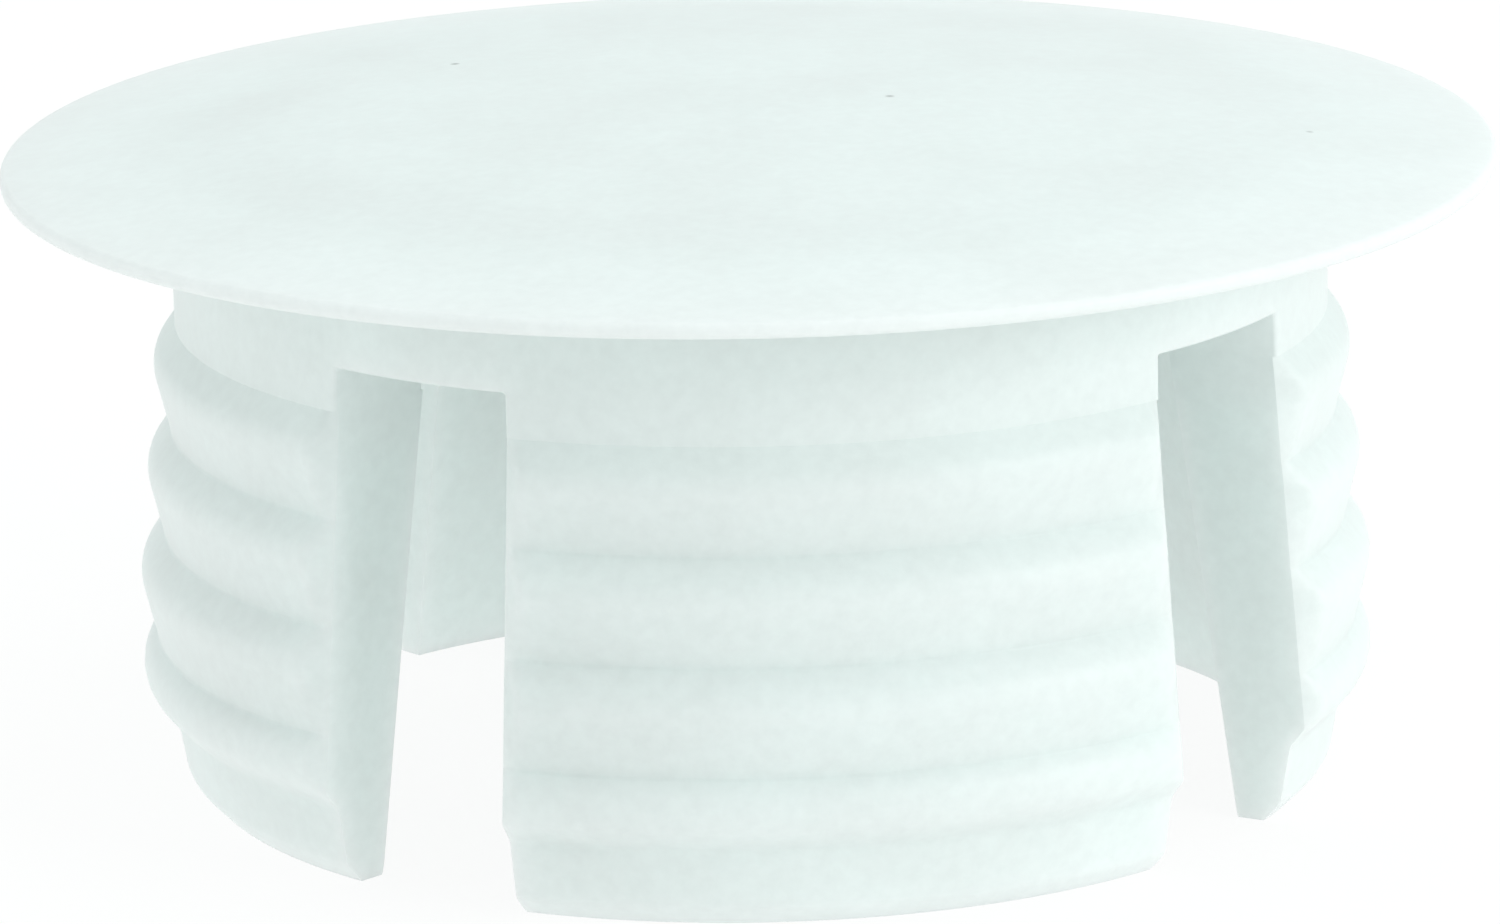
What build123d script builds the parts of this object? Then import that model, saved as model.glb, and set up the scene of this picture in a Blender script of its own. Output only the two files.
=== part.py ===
from build123d import *
import math
import os

os.makedirs("parts", exist_ok=True)

# A snap-in cover cap for a 20 mm hole, moulded in one piece.
# Origin: centre of the seat, the plane that lies on the panel. +Z points out through the head.
# The front leg is centred on -Y. All sizes are in millimetres.

# head: a thin domed disc with a fine edge
head_radius = 12.5
rim_thickness = 0.26
rim_rounding = 0.1
dome_rise = 0.85

# collar: the closed ring under the head that the legs hang from
collar_outer_radius = 9.68
collar_depth = 1.7
collar_inner_top = 7.35
collar_let_in = 0.1

# legs: four ribbed shells a quarter turn apart, with a slot between each pair;
# the left and right legs are a little wider than the front and back ones
wide_leg_angle = 74
narrow_leg_angle = 66.5
leg_top_z = -2.3
leg_tip_z = -10.38
inner_taper = 8.7

# leg corners: a plain flat down each outside corner, where the barbs run out before the slot
corner_top_z = -2.43
corner_top_radius = 9.61
corner_flare = 0.088

# barbs: each starts at a groove, steps out over a short shoulder and eases in to the next groove
barb_count = 4
barb_pitch = 1.78
barb_flare = 0.165
first_groove_z = -2.43
first_groove_radius = 9.64
barb_height = 0.46
shoulder_drop = 0.57
root_blend = 0.05
groove_rounding = 0.26
crest_rounding = 0.6

# nose: the plain lead-in below the last barb
nose_start_z = -9.02
nose_start_radius = 9.9
nose_end_z = -10.05
nose_end_radius = 9.72
nose_flat_radius = 9.4
nose_start_rounding = 0.4
nose_end_rounding = 0.3


def inner_radius(z):
    """Radius of the hollow core at height z; the core widens downwards."""
    return collar_inner_top - z * math.tan(math.radians(inner_taper))


def radial_plane(azimuth):
    """Plane through the axis whose sketch x runs outwards at this azimuth and y runs up."""
    angle = math.radians(azimuth)
    outwards = (math.cos(angle), math.sin(angle), 0)
    across = (math.sin(angle), -math.cos(angle), 0)
    return Plane(origin=(0, 0, 0), x_dir=outwards, z_dir=across)


def barb_outline():
    """Outside of a leg from its root to its tip, with the rounding of each corner between."""
    points = [(collar_outer_radius, leg_top_z)]
    roundings = []
    for barb in range(barb_count):
        groove_z = first_groove_z - barb * barb_pitch
        groove_radius = first_groove_radius + barb * barb_flare
        points.append((groove_radius, groove_z))
        points.append((groove_radius + barb_height, groove_z - shoulder_drop))
        roundings.append(groove_rounding if barb else root_blend)
        roundings.append(crest_rounding)
    points.append((nose_start_radius, nose_start_z))
    points.append((nose_end_radius, nose_end_z))
    points.append((nose_flat_radius, leg_tip_z))
    roundings.append(nose_start_rounding)
    roundings.append(nose_end_rounding)
    return points, roundings


# cap_head: the domed disc that shows when the cap is fitted
with BuildPart() as cap_head:
    with BuildSketch(Plane.XZ) as head_section:
        with BuildLine() as head_outline:
            Polyline(
                (0, collar_let_in),
                (collar_outer_radius - collar_let_in, collar_let_in),
                (collar_outer_radius, 0),
                (head_radius, 0),
                (head_radius, rim_thickness),
            )
            ThreePointArc(
                (head_radius, rim_thickness),
                (head_radius / 2, rim_thickness + dome_rise * 0.75),
                (0, rim_thickness + dome_rise),
            )
            Line((0, rim_thickness + dome_rise), (0, collar_let_in))
        make_face()
    revolve(axis=Axis.Z)
    rim_face = cap_head.faces().filter_by(GeomType.CYLINDER)[0]
    fillet(rim_face.edges().filter_by(GeomType.CIRCLE), radius=rim_rounding)
cap_head.part.label = "cap_head"
export_step(cap_head.part, "parts/cap_head.step")

# collar: the closed ring that fills the mouth of the hole; its top is let into the head,
# so the seat around it is a plain ring
with BuildPart() as collar:
    with BuildSketch(Plane.XZ) as collar_section:
        with BuildLine() as collar_outline:
            Polyline(
                (inner_radius(0), collar_let_in),
                (collar_outer_radius - collar_let_in, collar_let_in),
                (collar_outer_radius, 0),
                (collar_outer_radius, -collar_depth),
                (inner_radius(-collar_depth), -collar_depth),
                close=True,
            )
        make_face()
    revolve(axis=Axis.Z)
collar.part.label = "collar"
export_step(collar.part, "parts/collar.step")


def make_root(azimuth, leg_angle):
    """The short web at the root of a leg, where the moulding bends when the leg is pressed in."""
    with BuildPart() as root:
        with BuildSketch(radial_plane(azimuth - leg_angle / 2)) as root_section:
            with BuildLine() as root_outline:
                Polyline(
                    (inner_radius(-collar_depth), -collar_depth),
                    (collar_outer_radius, -collar_depth),
                    (collar_outer_radius, leg_top_z),
                    (inner_radius(leg_top_z), leg_top_z),
                    close=True,
                )
            make_face()
        revolve(axis=Axis.Z, revolution_arc=leg_angle)
    return root.part


def corner_flat_plane(azimuth, side):
    """Plane of the flat down an outside corner; side is 1 or -1 and the normal points off the leg."""
    angle = math.radians(azimuth)
    outwards = Vector(math.cos(angle), math.sin(angle), 0)
    off_end = Vector(-math.sin(angle), math.cos(angle), 0) * side
    corner = outwards * corner_top_radius + Vector(0, 0, corner_top_z)
    down = outwards * corner_flare - Vector(0, 0, 1)
    across = outwards - off_end
    return Plane(origin=corner, x_dir=across, z_dir=across.cross(down) * side)


def make_leg(azimuth, leg_angle):
    """A ribbed leg: a sector of a turned shell, thick at the root, with its corners cut flat."""
    points, roundings = barb_outline()
    first_end = azimuth - leg_angle / 2
    last_end = azimuth + leg_angle / 2
    with BuildPart() as leg:
        with BuildSketch(radial_plane(first_end)) as leg_section:
            with BuildLine() as leg_outline:
                outside = FilletPolyline(*points, radius=roundings)
                Polyline(
                    outside @ 1,
                    (inner_radius(leg_tip_z), leg_tip_z),
                    (inner_radius(leg_top_z), leg_top_z),
                    outside @ 0,
                )
            make_face()
        revolve(axis=Axis.Z, revolution_arc=leg_angle)
        split(bisect_by=corner_flat_plane(first_end, -1), keep=Keep.BOTTOM)
        split(bisect_by=corner_flat_plane(last_end, 1), keep=Keep.BOTTOM)
    return leg.part


# one root web and one leg in each place, named for where they stand
leg_places = {
    "front": (-90, narrow_leg_angle),
    "right": (0, wide_leg_angle),
    "back": (90, narrow_leg_angle),
    "left": (180, wide_leg_angle),
}
for place, (azimuth, leg_angle) in leg_places.items():
    root_web = make_root(azimuth, leg_angle)
    root_web.label = "root_" + place
    export_step(root_web, "parts/root_" + place + ".step")
    leg = make_leg(azimuth, leg_angle)
    leg.label = "leg_" + place
    export_step(leg, "parts/leg_" + place + ".step")
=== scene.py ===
import math

import bpy
from mathutils import Matrix, Vector


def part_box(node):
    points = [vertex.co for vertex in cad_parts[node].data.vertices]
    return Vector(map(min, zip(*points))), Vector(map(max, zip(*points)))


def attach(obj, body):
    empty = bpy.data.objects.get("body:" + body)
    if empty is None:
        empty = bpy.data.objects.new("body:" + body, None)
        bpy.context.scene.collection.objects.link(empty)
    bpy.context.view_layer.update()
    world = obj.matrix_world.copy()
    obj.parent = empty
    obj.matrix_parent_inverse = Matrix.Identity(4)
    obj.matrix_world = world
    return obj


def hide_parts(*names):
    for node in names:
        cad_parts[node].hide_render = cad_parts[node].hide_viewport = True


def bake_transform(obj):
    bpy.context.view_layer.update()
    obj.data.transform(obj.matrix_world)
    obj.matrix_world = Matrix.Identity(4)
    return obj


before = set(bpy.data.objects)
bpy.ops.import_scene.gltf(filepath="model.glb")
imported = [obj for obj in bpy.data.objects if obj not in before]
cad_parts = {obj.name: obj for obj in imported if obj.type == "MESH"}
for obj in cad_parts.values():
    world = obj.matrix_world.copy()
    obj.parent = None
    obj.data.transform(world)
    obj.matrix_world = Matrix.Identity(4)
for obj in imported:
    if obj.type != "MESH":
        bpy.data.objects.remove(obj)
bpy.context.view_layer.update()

# A snap-in cover cap moulded in one piece: a thin domed head, a closed collar under it, and
# four ribbed legs. It is modelled as one skin for the head and collar and one for each leg.

MM = 0.001
scene = bpy.context.scene

# sizes that drive the pieces, taken from the frame
head_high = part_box("cap_head")[1]
collar_low, collar_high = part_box("collar")
head_radius = head_high.x
dome_top = head_high.z
collar_radius = collar_high.x
slot_top_z = collar_low.z
tip_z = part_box("leg_front")[0].z

# head: almost flat in the middle, a little steeper towards a fine rounded edge
rim_thickness = 0.26 * MM
rim_rounding = 0.12 * MM
dome_power = 2.3
dome_steps = 26
underside_z = 0.1 * MM
neck_rounding = 0.12 * MM

# hollow core: it widens downwards
core_top_radius = 7.35 * MM
core_taper = math.tan(math.radians(8.7))

# legs: opposite ones alike
narrow_leg_angle = 66.5
wide_leg_angle = 74.0
leg_middles = {"front": -90, "right": 0, "back": 90, "left": 180}
leg_widths = {
    "front": narrow_leg_angle,
    "right": wide_leg_angle,
    "back": narrow_leg_angle,
    "left": wide_leg_angle,
}

# barbs, from the first groove down
barb_count = 4
barb_pitch = 1.78 * MM
barb_flare = 0.165 * MM
first_groove_z = -2.43 * MM
first_groove_radius = 9.64 * MM
barb_height = 0.46 * MM
shoulder_drop = 0.57 * MM
groove_rounding = 0.1 * MM
crest_rounding = 0.6 * MM

# nose: the plain lead-in below the last barb
nose_start = (9.9 * MM, -9.02 * MM)
nose_end = (9.72 * MM, -10.05 * MM)
nose_flat_radius = 9.4 * MM
nose_rounding = 0.35 * MM

# the flat down each outside corner of a leg
corner_top_radius = 9.61 * MM
corner_flare = 0.088
flat_softness = 0.12 * MM
tip_corner_rounding = 0.24 * MM
edge_softness = 0.07 * MM

# patterns in the plastic
cloud_size = 3.03 * MM
mottle_size = 0.25 * MM
speck_spacing = 2.222 * MM
grain_size = 0.125 * MM
waviness_length = 2.0 * MM

# steps of a turned surface, finer beside a leg's corners, and how near is near enough
step_angle = 0.95
corner_step_angle = 0.25
corner_zone_angle = 4.0
sharp_angle = math.radians(36)
merge_distance = 0.002 * MM
height_slack = 0.01 * MM
seam_slack = 0.02 * MM
angle_slack = 0.05


def core_radius(z):
    """Radius of the hollow core at height z."""
    return core_top_radius - z * core_taper


def on_turn(radius, z, azimuth):
    """The point at this radius, height and angle round the axis."""
    angle = math.radians(azimuth)
    return Vector((radius * math.cos(angle), radius * math.sin(angle), z))


def rounded(corners, steps=6):
    """Outline points through corners given as radius, z and rounding; each rounding is a small arc."""
    points = []
    for index, (radius, z, rounding) in enumerate(corners):
        here = Vector((radius, z))
        if not rounding or index in (0, len(corners) - 1):
            points.append(here)
            continue
        before = (Vector(corners[index - 1][:2]) - here).normalized()
        after = (Vector(corners[index + 1][:2]) - here).normalized()
        half = before.angle(after) / 2
        reach = rounding / math.tan(half)
        centre = here + (before + after).normalized() * (rounding / math.sin(half))
        first = here + before * reach - centre
        last = here + after * reach - centre
        for step in range(steps + 1):
            share = step / steps
            spoke = first * (1 - share) + last * share
            points.append(centre + spoke.normalized() * rounding)
    return points


def start_outline(name, place):
    """A new piece of one point at its place, open in edit mode."""
    bpy.ops.object.select_all(action="DESELECT")
    bpy.ops.mesh.primitive_plane_add(size=1 * MM, location=place)
    piece = bpy.context.object
    piece.name = name
    piece.data.name = name
    bpy.ops.object.mode_set(mode="EDIT")
    bpy.ops.mesh.select_mode(type="VERT")
    bpy.ops.mesh.select_all(action="SELECT")
    bpy.ops.mesh.merge(type="CENTER")
    return piece


def draw_outline(points, azimuth):
    """Extrude the selected point along the outline, on the radial plane at this azimuth."""
    places = [on_turn(point.x, point.y, azimuth) for point in points]
    for here, there in zip(places, places[1:]):
        bpy.ops.mesh.extrude_region_move(TRANSFORM_OT_translate={"value": there - here})


def turn_sector(angle, step=step_angle):
    """Spin what is selected round the axis by this many degrees, in steps of about this size."""
    steps = max(2, round(angle / step))
    bpy.ops.mesh.spin(steps=steps, angle=-math.radians(angle), center=(0, 0, 0), axis=(0, 0, 1))


def close_up(piece):
    """Merge the seams, turn the faces outwards and put the piece's place in its mesh."""
    bpy.ops.mesh.select_all(action="SELECT")
    bpy.ops.mesh.remove_doubles(threshold=merge_distance)
    bpy.ops.mesh.normals_make_consistent(inside=False)
    bpy.ops.object.mode_set(mode="OBJECT")
    bpy.ops.object.transform_apply(location=True, rotation=True, scale=True)


def soften_edges(piece, width, keep_sharp_z):
    """Round every sharp edge a little, except those at the seam height, then shade the curves smooth."""
    bpy.ops.object.mode_set(mode="EDIT")
    bpy.ops.mesh.select_mode(type="EDGE")
    bpy.ops.mesh.select_all(action="DESELECT")
    bpy.ops.mesh.edges_select_sharp(sharpness=sharp_angle)
    bpy.ops.object.mode_set(mode="OBJECT")
    for face in piece.data.polygons:
        face.select = False
    for edge in piece.data.edges:
        heights = [piece.data.vertices[index].co.z for index in edge.vertices]
        if max(abs(height - keep_sharp_z) for height in heights) < seam_slack:
            edge.select = False
    bpy.ops.object.mode_set(mode="EDIT")
    bpy.ops.mesh.bevel(offset=width, segments=3, affect="EDGES", clamp_overlap=True)
    bpy.ops.object.mode_set(mode="OBJECT")
    bpy.ops.object.shade_smooth_by_angle(angle=sharp_angle)


def select_faces(piece, wanted):
    """In edit mode, select just the faces whose middle and normal pass the test."""
    bpy.ops.mesh.select_mode(type="FACE")
    bpy.ops.mesh.select_all(action="DESELECT")
    bpy.ops.object.mode_set(mode="OBJECT")
    for face in piece.data.polygons:
        face.select = wanted(piece.matrix_world @ face.center, face.normal)
    bpy.ops.object.mode_set(mode="EDIT")


def angle_apart(azimuth, middle):
    """Degrees between two directions round the axis."""
    return abs((azimuth - middle + 180) % 360 - 180)


def over_a_leg(place):
    """True where a leg hangs below this place."""
    azimuth = math.degrees(math.atan2(place.y, place.x))
    return any(angle_apart(azimuth, leg_middles[leg]) < leg_widths[leg] / 2 for leg in leg_middles)


def head_outline():
    """The head, collar and core's outline, from the crown round to the middle of the underside."""
    crown_rise = dome_top - rim_thickness
    dome_reach = head_radius - rim_rounding
    corners = []
    for step in range(dome_steps):
        radius = dome_reach * step / dome_steps
        share = radius / head_radius
        corners.append((radius, rim_thickness + crown_rise * (1 - share**dome_power), 0))
    corners.append((head_radius, rim_thickness, rim_rounding))
    corners.append((head_radius, 0, rim_rounding))
    corners.append((collar_radius, 0, neck_rounding))
    corners.append((collar_radius, slot_top_z, 0))
    corners.append((core_radius(slot_top_z), slot_top_z, 0))
    corners.append((core_radius(underside_z), underside_z, neck_rounding))
    corners.append((0, underside_z, 0))
    return rounded(corners)


def make_cap():
    """Head, collar and the four short webs that the legs bend at, as one moulded skin."""
    first_azimuth = -wide_leg_angle / 2
    outline = head_outline()
    cap = start_outline("cap_skin", on_turn(outline[0].x, outline[0].y, first_azimuth))
    draw_outline(outline, first_azimuth)
    bpy.ops.mesh.select_all(action="SELECT")
    gap_angle = (180 - wide_leg_angle - narrow_leg_angle) / 2
    for sector in (wide_leg_angle, gap_angle, narrow_leg_angle, gap_angle) * 2:
        turn_sector(sector)
    bpy.ops.mesh.select_all(action="SELECT")
    bpy.ops.mesh.remove_doubles(threshold=merge_distance)
    bpy.ops.mesh.normals_make_consistent(inside=False)
    level = slot_top_z + height_slack
    select_faces(cap, lambda place, normal: normal.z < -0.9 and place.z < level and over_a_leg(place))

    # the webs, drawn down to the first groove, with their inner wall on the taper of the core
    web_drop = Vector((0, 0, first_groove_z - slot_top_z))
    bpy.ops.mesh.extrude_region_move(TRANSFORM_OT_translate={"value": web_drop})
    bpy.ops.mesh.select_mode(type="VERT")
    close_up(cap)
    for vertex in cap.data.vertices:
        radial = Vector((vertex.co.x, vertex.co.y, 0))
        if vertex.co.z < slot_top_z - height_slack and radial.length < core_radius(tip_z):
            vertex.co += radial.normalized() * (core_radius(vertex.co.z) - radial.length)
    soften_edges(cap, edge_softness, first_groove_z)
    return cap


def leg_outline():
    """A leg's section: four barbs down the outside, the nose, the tip and the core's wall."""
    corners = [(collar_radius, first_groove_z, 0)]
    for barb in range(barb_count):
        groove_z = first_groove_z - barb * barb_pitch
        groove_radius = first_groove_radius + barb * barb_flare
        if barb:
            corners.append((groove_radius, groove_z, groove_rounding))
        corners.append((groove_radius + barb_height, groove_z - shoulder_drop, crest_rounding))
    corners.append((*nose_start, nose_rounding))
    corners.append((*nose_end, nose_rounding))
    corners.append((nose_flat_radius, tip_z, 0))
    corners.append((core_radius(tip_z), tip_z, 0))
    corners.append((core_radius(first_groove_z), first_groove_z, 0))
    return rounded(corners)


def flatten_corner(piece, azimuth, side):
    """Press the barbs in to a flat down one outside corner, where they run out before the slot."""
    least_facing = 0.2
    outwards = on_turn(1, 0, azimuth)
    off_end = on_turn(1, 0, azimuth + 90 * side)
    corner = outwards * corner_top_radius + Vector((0, 0, first_groove_z))
    down = outwards * corner_flare - Vector((0, 0, 1))
    off_leg = ((outwards - off_end).cross(down) * side).normalized()
    for vertex in piece.data.vertices:
        radial = Vector((vertex.co.x, vertex.co.y, 0))
        reach = radial.length
        radial.normalize()
        if reach < nose_flat_radius - seam_slack or off_leg.dot(radial) < least_facing:
            continue
        flat_reach = off_leg.dot(corner - Vector((0, 0, vertex.co.z))) / off_leg.dot(radial)
        soft = max(0, flat_softness - abs(reach - flat_reach)) ** 2 / (4 * flat_softness)
        reach = min(reach, flat_reach) - soft
        vertex.co = radial * reach + Vector((0, 0, vertex.co.z))


def round_tip_corners(piece, ends):
    """Round the two bottom corners of a leg, beside the slots."""
    bpy.ops.object.mode_set(mode="EDIT")
    bpy.ops.mesh.select_mode(type="EDGE")
    bpy.ops.mesh.select_all(action="DESELECT")
    bpy.ops.object.mode_set(mode="OBJECT")
    for edge in piece.data.edges:
        places = [piece.data.vertices[index].co for index in edge.vertices]
        turns = [math.degrees(math.atan2(place.y, place.x)) for place in places]
        at_tip = all(place.z < tip_z + height_slack for place in places)
        at_end = any(all(angle_apart(turn, end) < angle_slack for turn in turns) for end in ends)
        edge.select = at_tip and at_end
    bpy.ops.object.mode_set(mode="EDIT")
    bpy.ops.mesh.bevel(offset=tip_corner_rounding, segments=5, affect="EDGES")
    bpy.ops.object.mode_set(mode="OBJECT")


def make_leg(leg):
    """A ribbed leg, turned from its section and cut flat down both corners."""
    first_azimuth = leg_middles[leg] - leg_widths[leg] / 2
    last_azimuth = leg_middles[leg] + leg_widths[leg] / 2
    outline = leg_outline()
    piece = start_outline("leg_" + leg + "_skin", on_turn(outline[0].x, outline[0].y, first_azimuth))
    draw_outline(outline, first_azimuth)
    bpy.ops.mesh.select_all(action="SELECT")
    bpy.ops.mesh.edge_face_add()
    turn_sector(corner_zone_angle, corner_step_angle)
    turn_sector(leg_widths[leg] - 2 * corner_zone_angle)
    turn_sector(corner_zone_angle, corner_step_angle)
    close_up(piece)
    flatten_corner(piece, first_azimuth, -1)
    flatten_corner(piece, last_azimuth, 1)
    round_tip_corners(piece, (first_azimuth, last_azimuth))
    soften_edges(piece, edge_softness, first_groove_z)
    return piece


def copy_across(piece, name):
    """The same leg on the opposite side, with a mesh of its own."""
    bpy.ops.object.select_all(action="DESELECT")
    copy = piece.copy()
    copy.data = piece.data.copy()
    copy.name = name
    copy.data.name = name
    scene.collection.objects.link(copy)
    copy.select_set(True)
    bpy.context.view_layer.objects.active = copy
    copy.rotation_euler = (0, 0, math.pi)
    bpy.ops.object.transform_apply(location=True, rotation=True, scale=True)
    return copy


cap_skin = make_cap()
leg_skins = {"front": make_leg("front"), "right": make_leg("right")}
leg_skins["back"] = copy_across(leg_skins["front"], "leg_back_skin")
leg_skins["left"] = copy_across(leg_skins["right"], "leg_left_skin")


def srgb(hex_colour):
    """A hex colour as linear red, green, blue and alpha."""
    channels = [int(hex_colour[i : i + 2], 16) / 255 for i in (1, 3, 5)]
    linear = [c / 12.92 if c <= 0.04045 else ((c + 0.055) / 1.055) ** 2.4 for c in channels]
    return (*linear, 1.0)


def add_node(tree, kind, settings=None, links=None):
    """Add a node, set its properties and sockets, and link its inputs."""
    node = tree.nodes.new(kind)
    for key, value in (settings or {}).items():
        if isinstance(key, str) and hasattr(node, key):
            setattr(node, key, value)
        else:
            node.inputs[key].default_value = value
    for socket, source in (links or {}).items():
        tree.links.new(source, node.inputs[socket])
    return node


def blank_material(name):
    """A new material with only its output node."""
    material = bpy.data.materials.new(name)
    material.use_nodes = True
    material.node_tree.nodes.clear()
    return material, material.node_tree


def moulded_polyethylene():
    """Natural white polyethylene as moulded: milky, faintly green-blue, with a soft low gloss.
    The eye sees a very fine grain, slight clouding, and a few dark grains of dust."""
    material, tree = blank_material("natural_polyethylene_moulded")
    place = add_node(tree, "ShaderNodeTexCoord").outputs["Object"]

    # clouding in the melt
    cloud = add_node(
        tree,
        "ShaderNodeTexNoise",
        {"Scale": 1 / cloud_size, "Detail": 3.0, "Roughness": 0.55},
        {"Vector": place},
    )
    tint = add_node(tree, "ShaderNodeValToRGB", links={"Fac": cloud.outputs["Fac"]})
    for stop, (position, colour) in enumerate(((0.34, "#e3ebe9"), (0.66, "#e6efed"))):
        tint.color_ramp.elements[stop].position = position
        tint.color_ramp.elements[stop].color = srgb(colour)

    # fine mottling, which makes the gloss uneven too
    mottle = add_node(
        tree,
        "ShaderNodeTexNoise",
        {"Scale": 1 / mottle_size, "Detail": 2.0, "Roughness": 0.6},
        {"Vector": place},
    )
    mottle_tone = add_node(
        tree,
        "ShaderNodeMapRange",
        {"From Min": 0.3, "From Max": 0.7, "To Min": 0.975, "To Max": 1.015},
        {"Value": mottle.outputs["Fac"]},
    )
    mottled = add_node(
        tree,
        "ShaderNodeVectorMath",
        {"operation": "SCALE"},
        {0: tint.outputs["Color"], "Scale": mottle_tone.outputs["Result"]},
    )

    # a few dark grains, each a small part of its cell: about one cell in fourteen has one
    cells = add_node(tree, "ShaderNodeTexVoronoi", {"Scale": 1 / speck_spacing}, {"Vector": place})
    chosen = add_node(tree, "ShaderNodeSeparateColor", links={"Color": cells.outputs["Color"]})
    rare = add_node(
        tree, "ShaderNodeMath", {"operation": "LESS_THAN", 1: 0.07}, {0: chosen.outputs["Red"]}
    )
    near = add_node(
        tree,
        "ShaderNodeMapRange",
        {"From Min": 0.05, "From Max": 0.025, "To Min": 0.0, "To Max": 0.75},
        {"Value": cells.outputs["Distance"]},
    )
    speck = add_node(
        tree, "ShaderNodeMath", {"operation": "MULTIPLY"}, {0: rare.outputs[0], 1: near.outputs["Result"]}
    )
    # sockets 6 and 7 are the two colours that it mixes
    specked = add_node(
        tree,
        "ShaderNodeMix",
        {"data_type": "RGBA", 7: srgb("#8d9793")},
        {"Factor": speck.outputs[0], 6: mottled.outputs[0]},
    )

    # grain of the mould under slow waviness
    grain = add_node(
        tree,
        "ShaderNodeTexNoise",
        {"Scale": 1 / grain_size, "Detail": 3.0, "Roughness": 0.6},
        {"Vector": place},
    )
    waviness = add_node(
        tree,
        "ShaderNodeTexNoise",
        {"Scale": 1 / waviness_length, "Detail": 1.0},
        {"Vector": place},
    )
    grain_bump = add_node(
        tree,
        "ShaderNodeBump",
        {"Strength": 0.25, "Distance": 0.012 * MM},
        {"Height": grain.outputs["Fac"]},
    )
    wave_bump = add_node(
        tree,
        "ShaderNodeBump",
        {"Strength": 0.5, "Distance": 0.03 * MM},
        {"Height": waviness.outputs["Fac"], "Normal": grain_bump.outputs["Normal"]},
    )
    gloss = add_node(
        tree,
        "ShaderNodeMapRange",
        {"From Min": 0.3, "From Max": 0.7, "To Min": 0.4, "To Max": 0.52},
        {"Value": mottle.outputs["Fac"]},
    )

    # light soaks 0.8 mm into the plastic, but less beside the first groove, where two skins meet
    height = add_node(tree, "ShaderNodeSeparateXYZ", links={"Vector": place})
    above_seam = add_node(
        tree, "ShaderNodeMath", {"operation": "SUBTRACT", 1: first_groove_z}, {0: height.outputs["Z"]}
    )
    off_seam = add_node(tree, "ShaderNodeMath", {"operation": "ABSOLUTE"}, {0: above_seam.outputs[0]})
    soaking = add_node(
        tree,
        "ShaderNodeMapRange",
        {
            "interpolation_type": "SMOOTHSTEP",
            "From Min": 0.15 * MM,
            "From Max": 1.3 * MM,
            "To Min": 0.0,
            "To Max": 0.55,
        },
        {"Value": off_seam.outputs[0]},
    )

    shader = add_node(
        tree,
        "ShaderNodeBsdfPrincipled",
        {
            "IOR": 1.5,
            "Specular IOR Level": 0.4,
            "Subsurface Radius": (1.0, 1.03, 1.02),
            "Subsurface Scale": 0.8 * MM,
        },
        {
            "Base Color": specked.outputs[2],
            "Subsurface Weight": soaking.outputs["Result"],
            "Roughness": gloss.outputs["Result"],
            "Normal": wave_bump.outputs["Normal"],
        },
    )
    add_node(tree, "ShaderNodeOutputMaterial", links={"Surface": shader.outputs["BSDF"]})
    return material


def lit_board():
    """Frosted acrylic board lit from below: an even white with hardly any shadow on it."""
    material, tree = blank_material("frosted_acrylic_board")
    place = add_node(tree, "ShaderNodeTexCoord").outputs["Object"]
    frosting = add_node(tree, "ShaderNodeTexNoise", {"Scale": 40.0, "Detail": 2.0}, {"Vector": place})
    roughness = add_node(
        tree,
        "ShaderNodeMapRange",
        {"To Min": 0.85, "To Max": 0.95},
        {"Value": frosting.outputs["Fac"]},
    )
    shader = add_node(
        tree,
        "ShaderNodeBsdfPrincipled",
        {
            "Base Color": srgb("#626463"),
            "Specular IOR Level": 0.0,
            "Emission Color": srgb("#ffffff"),
            "Emission Strength": 0.88,
        },
        {"Roughness": roughness.outputs["Result"]},
    )
    add_node(tree, "ShaderNodeOutputMaterial", links={"Surface": shader.outputs["BSDF"]})
    return material


polyethylene = moulded_polyethylene()
for piece in (cap_skin, *leg_skins.values()):
    piece.data.materials.clear()
    piece.data.materials.append(polyethylene)

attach(cap_skin, "cap")
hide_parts("cap_head", "collar", "root_front", "root_right", "root_back", "root_left")
for leg, skin in leg_skins.items():
    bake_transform(skin)
    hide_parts("leg_" + leg)


# camera: a long lens close to level with the head, a little to the left of the front leg's middle
camera_distance = 150.0 * MM
camera_elevation = math.radians(14.7)
camera_azimuth = math.radians(-9.2)
camera_roll = math.radians(1.11)
camera_side = -0.066 * MM
camera_drop = -5.167 * MM
rim_middle = Vector((0, 0, rim_thickness / 2))

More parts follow.
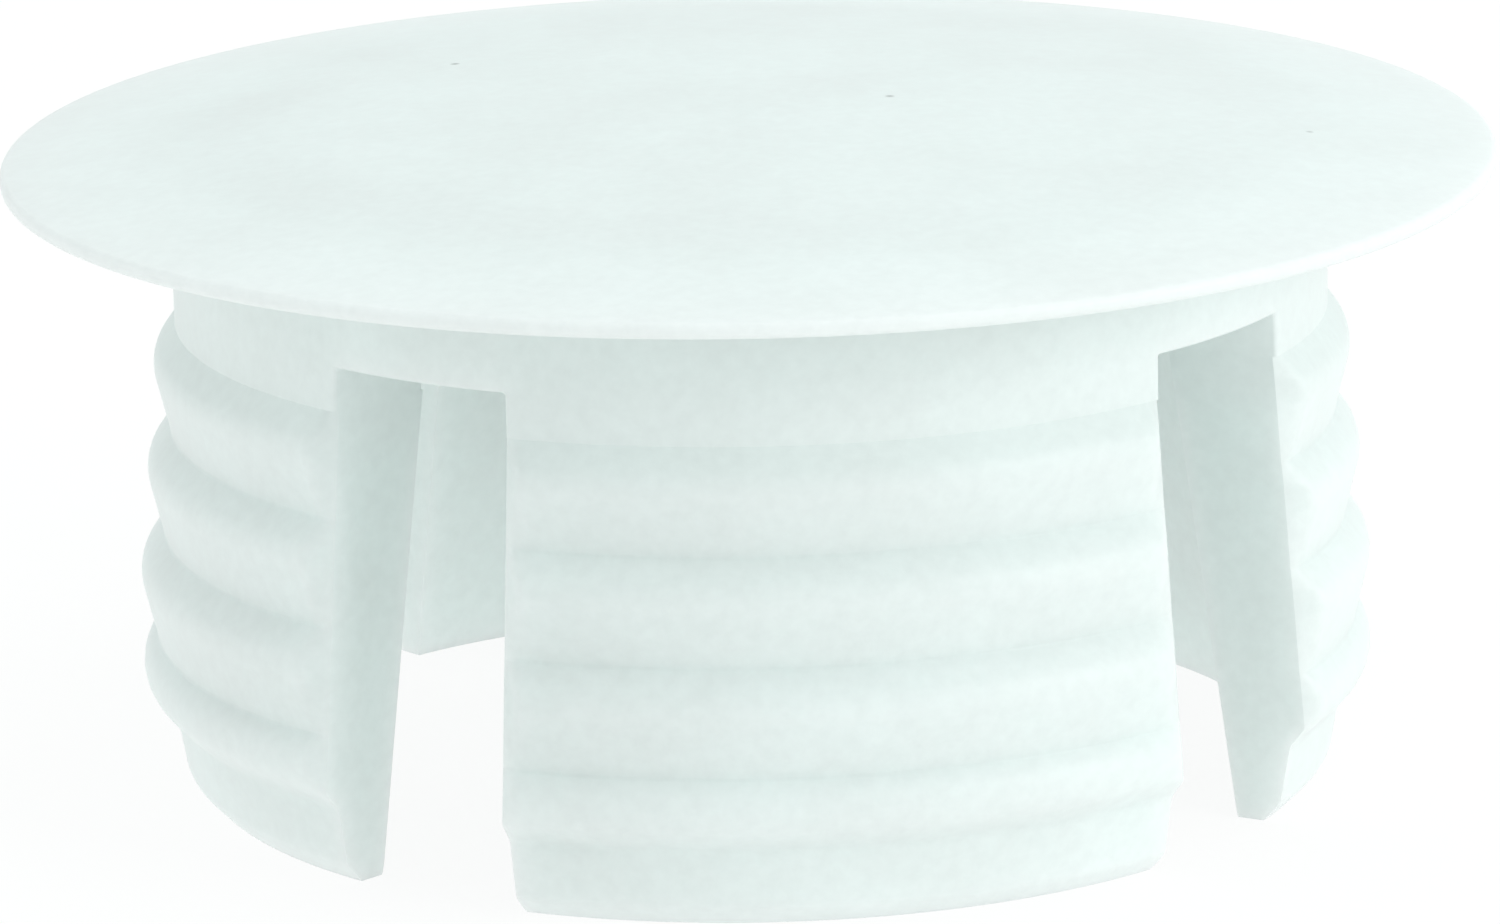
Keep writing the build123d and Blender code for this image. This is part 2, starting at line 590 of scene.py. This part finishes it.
turn = Matrix.Rotation(camera_azimuth, 3, "Z")
forward = turn @ Vector((0, math.cos(camera_elevation), -math.sin(camera_elevation)))
upward = turn @ Vector((0, math.sin(camera_elevation), math.cos(camera_elevation)))
sideways = turn @ Vector((1, 0, 0))
rolled_side = sideways * math.cos(camera_roll) - upward * math.sin(camera_roll)
rolled_up = upward * math.cos(camera_roll) + sideways * math.sin(camera_roll)

camera_data = bpy.data.cameras.new("studio_camera")
camera_data.lens = 215.0
camera_data.sensor_width = 36
camera_data.sensor_fit = "HORIZONTAL"
camera_data.clip_start = 0.005
camera_data.clip_end = 20
camera = bpy.data.objects.new("studio_camera", camera_data)
scene.collection.objects.link(camera)
facing = Matrix((rolled_side, rolled_up, -forward)).transposed().to_4x4()
facing.translation = rim_middle - forward * camera_distance + sideways * camera_side + upward * camera_drop
camera.matrix_world = facing
scene.camera = camera

# floor: plain and lit, level with the legs' tips
bpy.ops.object.select_all(action="DESELECT")
bpy.ops.mesh.primitive_plane_add(size=3, location=(0, 0, tip_z))
floor = bpy.context.object
floor.name = "studio_floor"
floor.data.materials.append(lit_board())

# lights: a key to the front right, a fill to the back left and a large soft one overhead
for name, place, size, power in (
    ("key", (0.4, -0.335, 0.18), 0.25, 0.84),
    ("fill", (-0.55, 0.12, 0.14), 0.3, 0.42),
    ("top", (0.1, -0.05, 0.7), 0.5, 0.62),
):
    lamp = bpy.data.lights.new(name + "_light", "AREA")
    lamp.size = size
    lamp.energy = power
    holder = bpy.data.objects.new(name + "_light", lamp)
    holder.location = place
    holder.rotation_euler = (-Vector(place)).to_track_quat("-Z", "Y").to_euler()
    scene.collection.objects.link(holder)

# room: a little brighter towards the upper right than the lower left
world = bpy.data.worlds.new("studio_air")
scene.world = world
world.use_nodes = True
air = world.node_tree
air.nodes["Background"].inputs["Color"].default_value = srgb("#fbffff")

direction = add_node(air, "ShaderNodeTexCoord").outputs["Generated"]
towards_bright_side = add_node(
    air,
    "ShaderNodeVectorMath",
    {"operation": "DOT_PRODUCT", 1: (0.75, 0.2, 0.6)},
    {0: direction},
)
room_light = add_node(
    air,
    "ShaderNodeMapRange",
    {"From Min": -1.0, "From Max": 1.0, "To Min": 0.47, "To Max": 0.98},
    {"Value": towards_bright_side.outputs["Value"]},
)
air.links.new(room_light.outputs["Result"], air.nodes["Background"].inputs["Strength"])

scene.view_settings.view_transform = "Standard"
